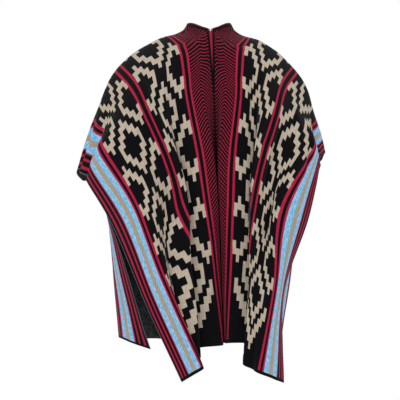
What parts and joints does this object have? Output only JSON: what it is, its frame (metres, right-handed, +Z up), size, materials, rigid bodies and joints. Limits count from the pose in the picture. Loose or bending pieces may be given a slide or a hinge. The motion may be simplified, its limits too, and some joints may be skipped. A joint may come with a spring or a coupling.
{
  "type": "knitted poncho",
  "caption": "Worn knitted poncho with a neck slit, open sides and deep soft folds, in diamonds, stripes and a herringbone middle band",
  "frame": {"origin": "on the shoulder line, midway between the two sides of the neck, where the wearer's shoulders hold the poncho", "axes": "+Z is up the wearer, -Y is the front of the garment, +X is towards the wearer's left"},
  "size_m": [0.6678, 0.3959, 0.9355],
  "materials": {
    "knit": "matte jacquard knit in navy black, tan, crimson and light blue",
    "edging": "matte rolled knit edging"
  },
  "bodies": {
    "root": {"panel_left": "knit", "panel_right": "knit", "neck_edging_left": "edging", "neck_edging_right": "edging"}
  },
  "joints": []
}
